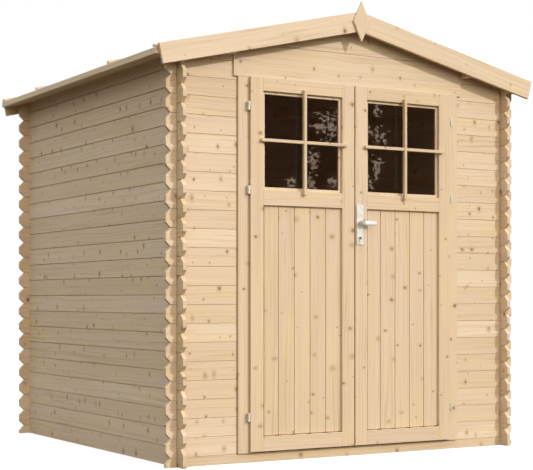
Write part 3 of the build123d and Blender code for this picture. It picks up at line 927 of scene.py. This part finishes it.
# A card that only the panes mirror, like shrubs with sky between them
CARD_W = 2.6
CARD_H = 1.15
CARD_FAR = 0.8
LEAF_SCALE = 26.0
LEAF_SHARE = 2.4
SPOT_SHARE = 0.6
SPOT_REACH = 2.0
SKY_FROM = (1.58, 1.64)
SPOT_FROM = (0.03, 0.12)
SHRUB_DARK = (0.14, 0.050, 0.026, 1)
SHRUB_SKY = (2.6, 1.9, 1.45, 1)
PANE_MIDDLE = (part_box("left_door_glass")[0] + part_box("right_door_glass")[1]) / 2
MIRRORED_EYE = Vector((CAMERA_PLACE[0], 2 * PANE_MIDDLE.y - CAMERA_PLACE[1], CAMERA_PLACE[2]))
# Spots of sky: place in shares of the card's width and height, half width, half height
SKY_SPOTS = (
    ((0.575, 0.667), 0.100, 0.095), ((0.615, 0.655), 0.045, 0.045), ((0.629, 0.405), 0.040, 0.090),
    ((0.636, 0.215), 0.035, 0.080), ((0.700, 0.232), 0.050, 0.050), ((0.562, 0.232), 0.055, 0.050),
    ((0.407, 0.570), 0.050, 0.060), ((0.419, 0.331), 0.040, 0.090), ((0.446, 0.232), 0.040, 0.050),
    ((0.448, 0.838), 0.040, 0.040), ((0.446, 0.620), 0.030, 0.050), ((0.419, 0.768), 0.030, 0.040),
)

bpy.ops.object.select_all(action="DESELECT")
bpy.ops.mesh.primitive_plane_add(size=1)
shrub_card = bpy.context.object
shrub_card.name = "shrub_card"
sight = PANE_MIDDLE - MIRRORED_EYE
shrub_card.scale = (CARD_W, CARD_H, 1)
shrub_card.location = PANE_MIDDLE + CARD_FAR * sight
shrub_card.rotation_euler = sight.to_track_quat("-Z", "Y").to_euler()
card_finish, bench, shader = finish_tree("shrub_card")
place = bench.add("ShaderNodeTexCoord").outputs["UV"]
flat = bench.stretch(place, (CARD_W, CARD_H, 1))
leaf = bench.noise(flat, LEAF_SCALE, detail=2.2, roughness=0.75)
opening = 0.0
for spot, wide, tall in SKY_SPOTS:
    offset = bench.add("ShaderNodeVectorMath", operation="SUBTRACT")
    bench.wire(flat, offset.inputs[0])
    offset.inputs[1].default_value = (spot[0] * CARD_W, spot[1] * CARD_H, 0)
    away = bench.add("ShaderNodeVectorMath", operation="LENGTH")
    bench.wire(bench.stretch(offset.outputs[0], (1 / wide, 1 / tall, 0)), away.inputs[0])
    near = bench.band(away.outputs["Value"], 0.0, SPOT_REACH, 1.0, 0.0, smooth=False)
    opening = bench.maths("MAXIMUM", opening, near)
leafy = bench.maths("ADD", bench.maths("MULTIPLY", opening, SPOT_SHARE),
                    bench.maths("MULTIPLY", leaf, LEAF_SHARE))
open_sky = bench.maths("MULTIPLY", bench.band(leafy, *SKY_FROM), bench.band(opening, *SPOT_FROM))
shader.inputs["Base Color"].default_value = BLACK
shader.inputs["Specular IOR Level"].default_value = 0.0
bench.wire(bench.mix(open_sky, SHRUB_DARK, SHRUB_SKY), shader.inputs["Emission Color"])
shader.inputs["Emission Strength"].default_value = 1.0
shrub_card.data.materials.append(card_finish)
shrub_card.visible_camera = False
shrub_card.visible_diffuse = False
shrub_card.visible_shadow = False

world = bpy.data.worlds.new("studio_sky")
bpy.context.scene.world = world
world.use_nodes = True
world.node_tree.nodes.clear()
bench = Bench(world.node_tree)
ray = bench.add("ShaderNodeLightPath")
seen = shown(bench, ray)
unseen = bench.maths("SUBTRACT", 1.0, seen)
heading = bench.add("ShaderNodeSeparateXYZ")
bench.wire(bench.add("ShaderNodeTexCoord").outputs["Generated"], heading.inputs[0])
high_glow = bench.band(heading.outputs["Z"], 0.0, 1.0, SKY_LOW, SKY_HIGH, smooth=False)
front_glow = bench.band(heading.outputs["Y"], 0.0, -1.0, 0.0, FRONT_FILL, smooth=False)
over_foot = bench.band(heading.outputs["Z"], *FRONT_FILL_FOOT)
under_top = bench.band(heading.outputs["Z"], *FRONT_FILL_TOP, 1.0, 0.0)
front_glow = bench.maths("MULTIPLY", front_glow, over_foot)
front_glow = bench.maths("MULTIPLY", front_glow, under_top)
rear_glow = bench.band(heading.outputs["Y"], *REAR_FILL_EDGE, 0.0, REAR_FILL)
whole_sky = bench.add("ShaderNodeOutputWorld").inputs["Surface"]
for tint, strength in ((SKY_TINT, bench.maths("MULTIPLY", high_glow, unseen)),
                       (FILL_TINT, bench.maths("MULTIPLY", front_glow, unseen)),
                       (FILL_TINT, bench.maths("MULTIPLY", rear_glow, unseen)),
                       (WHITE, seen)):
    backdrop = bench.add("ShaderNodeBackground")
    backdrop.inputs["Color"].default_value = tint
    bench.wire(strength, backdrop.inputs["Strength"])
    both = bench.add("ShaderNodeAddShader")
    bench.wire(backdrop.outputs[0], both.inputs[0])
    bench.wire(both.outputs[0], whole_sky)
    whole_sky = both.inputs[1]

bpy.ops.object.light_add(type="SUN", location=-SUN_FAR * SUN_PATH)
sun = bpy.context.object
sun.rotation_euler = SUN_PATH.to_track_quat("-Z", "Y").to_euler()
sun.data.energy = SUN_STRENGTH
sun.data.angle = SUN_SPREAD
sun.data.color = SUN_COLOR
sun.visible_transmission = False

bpy.ops.object.camera_add(location=CAMERA_PLACE, rotation=(math.radians(90), 0, CAMERA_YAW))
camera = bpy.context.object
camera.data.sensor_fit = "HORIZONTAL"
camera.data.lens = FOCAL_PX / PHOTO_W * camera.data.sensor_width
camera.data.shift_x = (PHOTO_W / 2 - CENTRE_PX[0]) / PHOTO_W
camera.data.shift_y = (CENTRE_PX[1] - PHOTO_H / 2) / PHOTO_W
bpy.context.scene.camera = camera
bpy.context.scene.view_settings.view_transform = "Standard"
